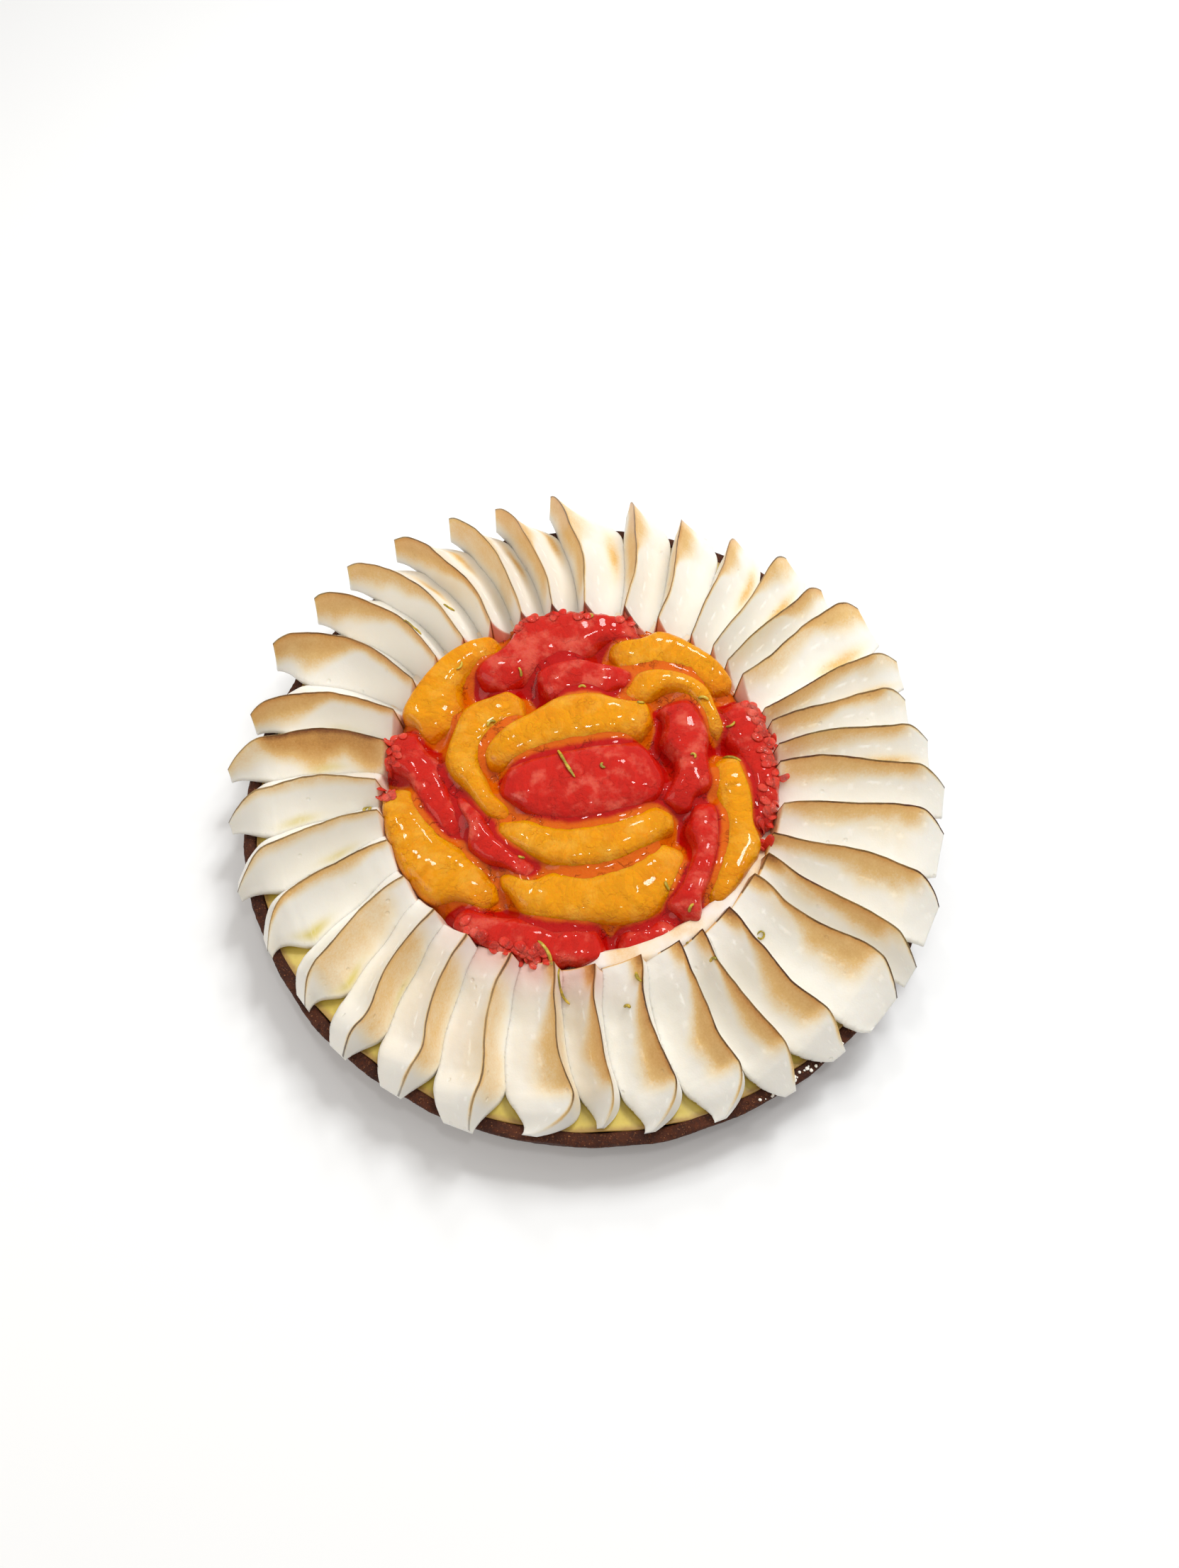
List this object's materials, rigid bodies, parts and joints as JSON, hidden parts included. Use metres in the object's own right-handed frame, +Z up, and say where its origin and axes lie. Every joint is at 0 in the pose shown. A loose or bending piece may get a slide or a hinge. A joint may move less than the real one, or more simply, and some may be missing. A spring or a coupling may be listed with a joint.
{
  "type": "citrus tart",
  "caption": "Round tart in a dark baked case with lemon curd, a ring of torched meringue petals and a rosette of glazed orange and grapefruit segments.",
  "frame": {"origin": "centre of the flat underside of the case", "axes": "+Z up, through the middle of the tart; +X to the right and -Y to the front, the side seen nearest in the picture"},
  "size_m": [0.2483, 0.2443, 0.0416],
  "materials": {
    "baked_crust": "dark chocolate shortcrust, baked and slightly crumbly",
    "lemon_curd": "smooth set lemon curd with a soft sheen, browned at its rim",
    "meringue": "soft white piped meringue with torched brown ridges",
    "orange_flesh": "wet orange segment under clear glaze",
    "grapefruit_flesh": "wet red grapefruit segment under clear glaze"
  },
  "bodies": {
    "root": {"crust": "baked_crust", "curd": "lemon_curd", "petal_01": "meringue", "petal_02": "meringue", "petal_03": "meringue", "petal_04": "meringue", "petal_05": "meringue", "petal_06": "meringue", "petal_07": "meringue", "petal_08": "meringue", "petal_09": "meringue", "petal_10": "meringue", "petal_11": "meringue", "petal_12": "meringue", "petal_13": "meringue", "petal_14": "meringue", "petal_15": "meringue", "petal_16": "meringue", "petal_17": "meringue", "petal_18": "meringue", "petal_19": "meringue", "petal_20": "meringue", "petal_21": "meringue", "petal_22": "meringue", "petal_23": "meringue", "petal_24": "meringue", "petal_25": "meringue", "petal_26": "meringue", "petal_27": "meringue", "petal_28": "meringue", "petal_29": "meringue", "petal_30": "meringue", "petal_31": "meringue", "petal_32": "meringue", "petal_33": "meringue", "petal_34": "meringue", "petal_35": "meringue", "petal_36": "meringue", "orange_above_centre": "orange_flesh", "orange_below_centre": "orange_flesh", "orange_inner_left": "orange_flesh", "orange_inner_right": "orange_flesh", "orange_front": "orange_flesh", "orange_right": "orange_flesh", "orange_back_right": "orange_flesh", "orange_back_left": "orange_flesh", "orange_front_left": "orange_flesh", "grapefruit_centre": "grapefruit_flesh", "grapefruit_right_of_centre": "grapefruit_flesh", "grapefruit_inner_back": "grapefruit_flesh", "grapefruit_inner_left": "grapefruit_flesh", "grapefruit_band_right": "grapefruit_flesh", "grapefruit_right": "grapefruit_flesh", "grapefruit_back": "grapefruit_flesh", "grapefruit_left": "grapefruit_flesh", "grapefruit_front": "grapefruit_flesh", "grapefruit_front_right": "grapefruit_flesh"}
  },
  "joints": []
}
